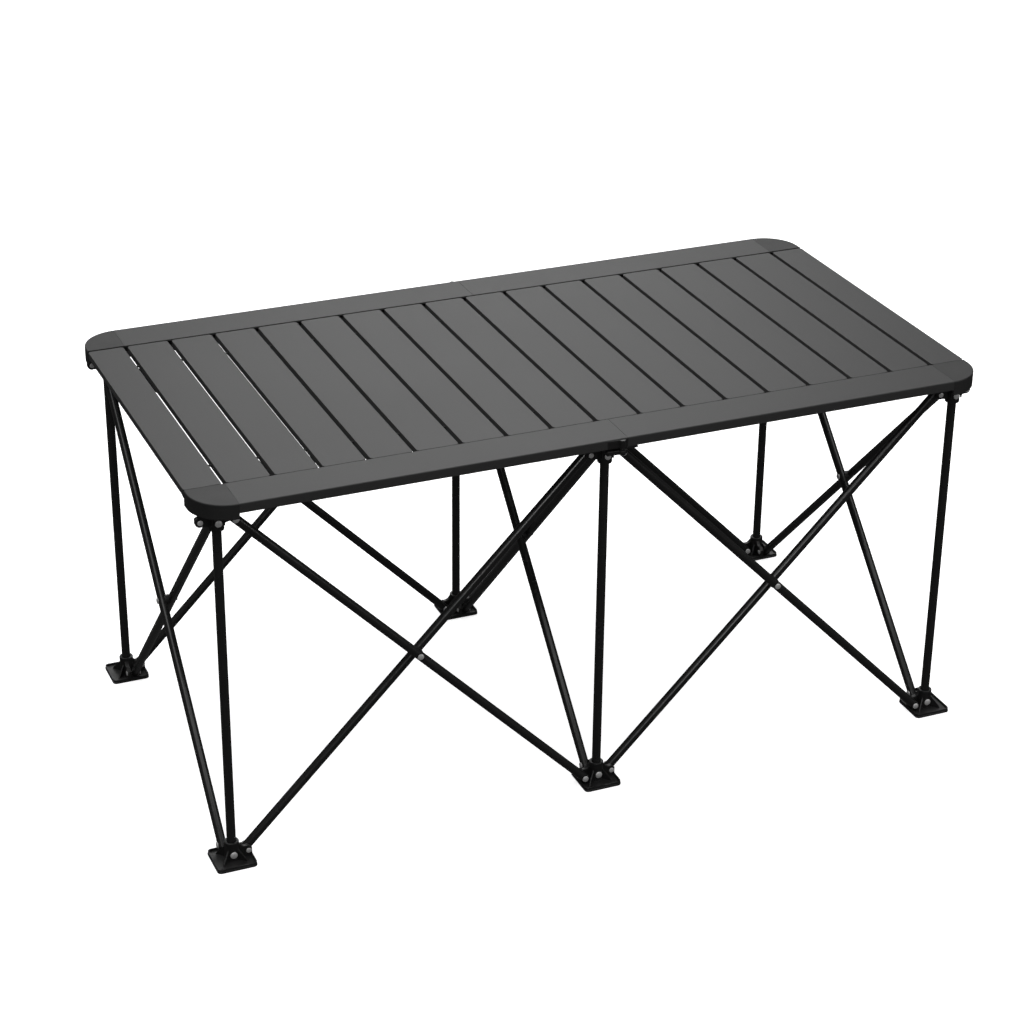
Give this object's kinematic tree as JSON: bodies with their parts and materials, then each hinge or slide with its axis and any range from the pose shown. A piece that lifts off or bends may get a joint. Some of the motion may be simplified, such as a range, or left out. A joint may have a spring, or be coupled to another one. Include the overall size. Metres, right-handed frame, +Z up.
{
  "type": "folding picnic table",
  "caption": "Rectangular folding picnic table: a roll-up slatted top between two side rails, on a scissor frame of legs, crossed braces, hubs and feet.",
  "frame": {"origin": "on the ground, under the centre of the table's bounding box", "axes": "+X along the table's length, +Y across it towards the back, +Z up"},
  "size_m": [1.184, 0.641, 0.567],
  "materials": {
    "slat": "fine matte black powder coat",
    "rail": "fine matte black powder coat",
    "corner": "matte moulded black plastic",
    "tube": "gloss black paint on steel tube",
    "fitting": "satin moulded black plastic",
    "pin": "zinc plated"
  },
  "bodies": {
    "front_left_leg": {"front_left_foot": "fitting", "front_left_leg": "tube"},
    "front_left_hub": {"front_left_hub": "fitting"},
    "front_middle_leg": {"front_middle_foot": "fitting", "front_middle_leg": "tube"},
    "front_middle_hub": {"front_middle_hub": "fitting"},
    "front_right_leg": {"front_right_foot": "fitting", "front_right_leg": "tube"},
    "front_right_hub": {"front_right_hub": "fitting"},
    "back_left_leg": {"back_left_foot": "fitting", "back_left_leg": "tube"},
    "back_left_hub": {"back_left_hub": "fitting"},
    "back_middle_leg": {"back_middle_foot": "fitting", "back_middle_leg": "tube"},
    "back_middle_hub": {"back_middle_hub": "fitting"},
    "back_right_leg": {"back_right_foot": "fitting", "back_right_leg": "tube"},
    "back_right_hub": {"back_right_hub": "fitting"},
    "front_left_brace_falling": {"front_left_brace_falling": "tube"},
    "front_left_brace_rising": {"front_left_brace_rising": "tube"},
    "front_right_brace_falling": {"front_right_brace_falling": "tube"},
    "front_right_brace_rising": {"front_right_brace_rising": "tube"},
    "back_left_brace_falling": {"back_left_brace_falling": "tube"},
    "back_left_brace_rising": {"back_left_brace_rising": "tube"},
    "back_right_brace_falling": {"back_right_brace_falling": "tube"},
    "back_right_brace_rising": {"back_right_brace_rising": "tube"},
    "cross_left_brace_falling": {"cross_left_brace_falling": "tube"},
    "cross_left_brace_rising": {"cross_left_brace_rising": "tube"},
    "cross_middle_brace_falling": {"cross_middle_brace_falling": "tube"},
    "cross_middle_brace_rising": {"cross_middle_brace_rising": "tube"},
    "cross_right_brace_falling": {"cross_right_brace_falling": "tube"},
    "cross_right_brace_rising": {"cross_right_brace_rising": "tube"},
    "table_top": {"front_rail_left": "rail", "back_rail_left": "rail", "front_rail_pin": "pin", "back_rail_pin": "pin", "front_left_corner": "corner", "back_left_corner": "corner", "slat_01": "slat"},
    "front_rail_end": {"front_rail_right": "rail", "front_right_corner": "corner"},
    "back_rail_end": {"back_rail_right": "rail", "back_right_corner": "corner"},
    "slat_02": {"slat_02": "slat"},
    "slat_03": {"slat_03": "slat"},
    "slat_04": {"slat_04": "slat"},
    "slat_05": {"slat_05": "slat"},
    "slat_06": {"slat_06": "slat"},
    "slat_07": {"slat_07": "slat"},
    "slat_08": {"slat_08": "slat"},
    "slat_09": {"slat_09": "slat"},
    "slat_10": {"slat_10": "slat"},
    "slat_11": {"slat_11": "slat"},
    "slat_12": {"slat_12": "slat"},
    "slat_13": {"slat_13": "slat"},
    "slat_14": {"slat_14": "slat"},
    "slat_15": {"slat_15": "slat"},
    "slat_16": {"slat_16": "slat"},
    "slat_17": {"slat_17": "slat"},
    "slat_18": {"slat_18": "slat"}
  },
  "joints": [
    {"name": "frame_fold", "type": "hinge", "parent": "front_middle_leg", "child": "front_left_brace_falling", "pos_m": [-0.023, -0.279, 0.013], "axis": [0, 1, 0], "range_deg": [0, 42]},
    {"name": "front_left_hub_turn", "type": "hinge", "parent": "front_left_brace_falling", "child": "front_left_hub", "pos_m": [-0.535, -0.279, 0.533], "axis": [0, -1, 0], "range_deg": [0, 42]},
    {"name": "front_left_brace_rising_turn", "type": "hinge", "parent": "front_left_brace_falling", "child": "front_left_brace_rising", "pos_m": [-0.279, -0.279, 0.273], "axis": [0, -1, 0], "range_deg": [0, 84]},
    {"name": "front_left_leg_turn", "type": "hinge", "parent": "front_left_brace_rising", "child": "front_left_leg", "pos_m": [-0.535, -0.279, 0.013], "axis": [0, 1, 0], "range_deg": [0, 42]},
    {"name": "front_middle_hub_turn", "type": "hinge", "parent": "front_left_brace_rising", "child": "front_middle_hub", "pos_m": [-0.023, -0.279, 0.533], "axis": [0, 1, 0], "range_deg": [0, 42]},
    {"name": "front_right_brace_rising_turn", "type": "hinge", "parent": "front_middle_leg", "child": "front_right_brace_rising", "pos_m": [0.023, -0.279, 0.013], "axis": [0, -1, 0], "range_deg": [0, 42]},
    {"name": "front_right_hub_turn", "type": "hinge", "parent": "front_right_brace_rising", "child": "front_right_hub", "pos_m": [0.535, -0.279, 0.533], "axis": [0, 1, 0], "range_deg": [0, 42]},
    {"name": "front_right_brace_falling_turn", "type": "hinge", "parent": "front_right_brace_rising", "child": "front_right_brace_falling", "pos_m": [0.279, -0.279, 0.273], "axis": [0, 1, 0], "range_deg": [0, 84]},
    {"name": "front_right_leg_turn", "type": "hinge", "parent": "front_right_brace_falling", "child": "front_right_leg", "pos_m": [0.535, -0.279, 0.013], "axis": [0, -1, 0], "range_deg": [0, 42]},
    {"name": "cross_left_brace_falling_turn", "type": "hinge", "parent": "front_left_leg", "child": "cross_left_brace_falling", "pos_m": [-0.558, -0.256, 0.013], "axis": [1, 0, 0], "range_deg": [0, 42]},
    {"name": "back_left_hub_turn", "type": "hinge", "parent": "cross_left_brace_falling", "child": "back_left_hub", "pos_m": [-0.558, 0.256, 0.533], "axis": [-1, 0, 0], "range_deg": [0, 42]},
    {"name": "cross_left_brace_rising_turn", "type": "hinge", "parent": "cross_left_brace_falling", "child": "cross_left_brace_rising", "pos_m": [-0.558, 0, 0.273], "axis": [-1, 0, 0], "range_deg": [0, 84]},
    {"name": "back_left_leg_turn", "type": "hinge", "parent": "cross_left_brace_rising", "child": "back_left_leg", "pos_m": [-0.558, 0.256, 0.013], "axis": [1, 0, 0], "range_deg": [0, 42]},
    {"name": "cross_middle_brace_falling_turn", "type": "hinge", "parent": "front_middle_leg", "child": "cross_middle_brace_falling", "pos_m": [0, -0.256, 0.013], "axis": [1, 0, 0], "range_deg": [0, 42]},
    {"name": "back_middle_hub_turn", "type": "hinge", "parent": "cross_middle_brace_falling", "child": "back_middle_hub", "pos_m": [0, 0.256, 0.533], "axis": [-1, 0, 0], "range_deg": [0, 42]},
    {"name": "cross_middle_brace_rising_turn", "type": "hinge", "parent": "cross_middle_brace_falling", "child": "cross_middle_brace_rising", "pos_m": [0, 0, 0.273], "axis": [-1, 0, 0], "range_deg": [0, 84]},
    {"name": "back_middle_leg_turn", "type": "hinge", "parent": "cross_middle_brace_rising", "child": "back_middle_leg", "pos_m": [0, 0.256, 0.013], "axis": [1, 0, 0], "range_deg": [0, 42]},
    {"name": "cross_right_brace_falling_turn", "type": "hinge", "parent": "front_right_leg", "child": "cross_right_brace_falling", "pos_m": [0.558, -0.256, 0.013], "axis": [1, 0, 0], "range_deg": [0, 42]},
    {"name": "back_right_hub_turn", "type": "hinge", "parent": "cross_right_brace_falling", "child": "back_right_hub", "pos_m": [0.558, 0.256, 0.533], "axis": [-1, 0, 0], "range_deg": [0, 42]},
    {"name": "cross_right_brace_rising_turn", "type": "hinge", "parent": "cross_right_brace_falling", "child": "cross_right_brace_rising", "pos_m": [0.558, 0, 0.273], "axis": [-1, 0, 0], "range_deg": [0, 84]},
    {"name": "back_right_leg_turn", "type": "hinge", "parent": "cross_right_brace_rising", "child": "back_right_leg", "pos_m": [0.558, 0.256, 0.013], "axis": [1, 0, 0], "range_deg": [0, 42]},
    {"name": "back_left_brace_falling_turn", "type": "hinge", "parent": "back_middle_leg", "child": "back_left_brace_falling", "pos_m": [-0.023, 0.279, 0.013], "axis": [0, 1, 0], "range_deg": [0, 42]},
    {"name": "back_left_brace_rising_turn", "type": "hinge", "parent": "back_left_brace_falling", "child": "back_left_brace_rising", "pos_m": [-0.279, 0.279, 0.273], "axis": [0, -1, 0], "range_deg": [0, 84]},
    {"name": "back_right_brace_rising_turn", "type": "hinge", "parent": "back_middle_leg", "child": "back_right_brace_rising", "pos_m": [0.023, 0.279, 0.013], "axis": [0, -1, 0], "range_deg": [0, 42]},
    {"name": "back_right_brace_falling_turn", "type": "hinge", "parent": "back_right_brace_rising", "child": "back_right_brace_falling", "pos_m": [0.279, 0.279, 0.273], "axis": [0, 1, 0], "range_deg": [0, 84]},
    {"name": "top_lift", "type": "slide", "parent": "front_middle_hub", "child": "table_top", "axis": [0, 0, 1], "range_m": [0, 0.25]},
    {"name": "front_rail_fold", "type": "hinge", "parent": "table_top", "child": "front_rail_end", "pos_m": [0.009, -0.316, 0.553], "axis": [0, 0, -1], "range_deg": [0, 178]},
    {"name": "back_rail_fold", "type": "hinge", "parent": "table_top", "child": "back_rail_end", "pos_m": [0.009, 0.316, 0.553], "axis": [0, 0, 1], "range_deg": [0, 178]},
    {"name": "slat_roll", "type": "hinge", "parent": "table_top", "child": "slat_02", "pos_m": [-0.536, 0, 0.5617], "axis": [0, -1, 0], "range_deg": [0, 38]},
    {"name": "slat_03_roll", "type": "hinge", "parent": "slat_02", "child": "slat_03", "pos_m": [-0.469, 0, 0.5617], "axis": [0, -1, 0], "range_deg": [0, 38.09]},
    {"name": "slat_04_roll", "type": "hinge", "parent": "slat_03", "child": "slat_04", "pos_m": [-0.402, 0, 0.5617], "axis": [0, -1, 0], "range_deg": [0, 38.38]},
    {"name": "slat_05_roll", "type": "hinge", "parent": "slat_04", "child": "slat_05", "pos_m": [-0.335, 0, 0.5617], "axis": [0, -1, 0], "range_deg": [0, 38.84]},
    {"name": "slat_06_roll", "type": "hinge", "parent": "slat_05", "child": "slat_06", "pos_m": [-0.268, 0, 0.5617], "axis": [0, -1, 0], "range_deg": [0, 39.5]},
    {"name": "slat_07_roll", "type": "hinge", "parent": "slat_06", "child": "slat_07", "pos_m": [-0.201, 0, 0.5617], "axis": [0, -1, 0], "range_deg": [0, 40.34]},
    {"name": "slat_08_roll", "type": "hinge", "parent": "slat_07", "child": "slat_08", "pos_m": [-0.134, 0, 0.5617], "axis": [0, -1, 0], "range_deg": [0, 41.38]},
    {"name": "slat_09_roll", "type": "hinge", "parent": "slat_08", "child": "slat_09", "pos_m": [-0.067, 0, 0.5617], "axis": [0, -1, 0], "range_deg": [0, 42.59]},
    {"name": "slat_10_roll", "type": "hinge", "parent": "slat_09", "child": "slat_10", "pos_m": [0, 0, 0.5617], "axis": [0, -1, 0], "range_deg": [0, 44]},
    {"name": "slat_11_roll", "type": "hinge", "parent": "slat_10", "child": "slat_11", "pos_m": [0.067, 0, 0.5617], "axis": [0, -1, 0], "range_deg": [0, 45.59]},
    {"name": "slat_12_roll", "type": "hinge", "parent": "slat_11", "child": "slat_12", "pos_m": [0.134, 0, 0.5617], "axis": [0, -1, 0], "range_deg": [0, 47.38]},
    {"name": "slat_13_roll", "type": "hinge", "parent": "slat_12", "child": "slat_13", "pos_m": [0.201, 0, 0.5617], "axis": [0, -1, 0], "range_deg": [0, 49.34]},
    {"name": "slat_14_roll", "type": "hinge", "parent": "slat_13", "child": "slat_14", "pos_m": [0.268, 0, 0.5617], "axis": [0, -1, 0], "range_deg": [0, 51.5]},
    {"name": "slat_15_roll", "type": "hinge", "parent": "slat_14", "child": "slat_15", "pos_m": [0.335, 0, 0.5617], "axis": [0, -1, 0], "range_deg": [0, 53.84]},
    {"name": "slat_16_roll", "type": "hinge", "parent": "slat_15", "child": "slat_16", "pos_m": [0.402, 0, 0.5617], "axis": [0, -1, 0], "range_deg": [0, 56.38]},
    {"name": "slat_17_roll", "type": "hinge", "parent": "slat_16", "child": "slat_17", "pos_m": [0.469, 0, 0.5617], "axis": [0, -1, 0], "range_deg": [0, 59.09]},
    {"name": "slat_18_roll", "type": "hinge", "parent": "slat_17", "child": "slat_18", "pos_m": [0.536, 0, 0.5617], "axis": [0, -1, 0], "range_deg": [0, 62]}
  ],
  "couplings": [
    {"joint": "front_left_hub_turn", "follows": "frame_fold", "ratio": 1},
    {"joint": "front_left_brace_rising_turn", "follows": "frame_fold", "ratio": 2},
    {"joint": "front_left_leg_turn", "follows": "frame_fold", "ratio": 1},
    {"joint": "front_middle_hub_turn", "follows": "frame_fold", "ratio": 1},
    {"joint": "front_right_brace_rising_turn", "follows": "frame_fold", "ratio": 1},
    {"joint": "front_right_hub_turn", "follows": "frame_fold", "ratio": 1},
    {"joint": "front_right_brace_falling_turn", "follows": "frame_fold", "ratio": 2},
    {"joint": "front_right_leg_turn", "follows": "frame_fold", "ratio": 1},
    {"joint": "cross_left_brace_falling_turn", "follows": "frame_fold", "ratio": 1},
    {"joint": "back_left_hub_turn", "follows": "frame_fold", "ratio": 1},
    {"joint": "cross_left_brace_rising_turn", "follows": "frame_fold", "ratio": 2},
    {"joint": "back_left_leg_turn", "follows": "frame_fold", "ratio": 1},
    {"joint": "cross_middle_brace_falling_turn", "follows": "frame_fold", "ratio": 1},
    {"joint": "back_middle_hub_turn", "follows": "frame_fold", "ratio": 1},
    {"joint": "cross_middle_brace_rising_turn", "follows": "frame_fold", "ratio": 2},
    {"joint": "back_middle_leg_turn", "follows": "frame_fold", "ratio": 1},
    {"joint": "cross_right_brace_falling_turn", "follows": "frame_fold", "ratio": 1},
    {"joint": "back_right_hub_turn", "follows": "frame_fold", "ratio": 1},
    {"joint": "cross_right_brace_rising_turn", "follows": "frame_fold", "ratio": 2},
    {"joint": "back_right_leg_turn", "follows": "frame_fold", "ratio": 1},
    {"joint": "back_left_brace_falling_turn", "follows": "frame_fold", "ratio": 1},
    {"joint": "back_left_brace_rising_turn", "follows": "frame_fold", "ratio": 2},
    {"joint": "back_right_brace_rising_turn", "follows": "frame_fold", "ratio": 1},
    {"joint": "back_right_brace_falling_turn", "follows": "frame_fold", "ratio": 2},
    {"joint": "slat_03_roll", "follows": "slat_roll", "ratio": 1.0025},
    {"joint": "slat_04_roll", "follows": "slat_roll", "ratio": 1.0099},
    {"joint": "slat_05_roll", "follows": "slat_roll", "ratio": 1.0222},
    {"joint": "slat_06_roll", "follows": "slat_roll", "ratio": 1.0395},
    {"joint": "slat_07_roll", "follows": "slat_roll", "ratio": 1.0617},
    {"joint": "slat_08_roll", "follows": "slat_roll", "ratio": 1.0888},
    {"joint": "slat_09_roll", "follows": "slat_roll", "ratio": 1.1209},
    {"joint": "slat_10_roll", "follows": "slat_roll", "ratio": 1.1579},
    {"joint": "slat_11_roll", "follows": "slat_roll", "ratio": 1.1998},
    {"joint": "slat_12_roll", "follows": "slat_roll", "ratio": 1.2467},
    {"joint": "slat_13_roll", "follows": "slat_roll", "ratio": 1.2985},
    {"joint": "slat_14_roll", "follows": "slat_roll", "ratio": 1.3553},
    {"joint": "slat_15_roll", "follows": "slat_roll", "ratio": 1.4169},
    {"joint": "slat_16_roll", "follows": "slat_roll", "ratio": 1.4836},
    {"joint": "slat_17_roll", "follows": "slat_roll", "ratio": 1.5551},
    {"joint": "slat_18_roll", "follows": "slat_roll", "ratio": 1.6316}
  ]
}
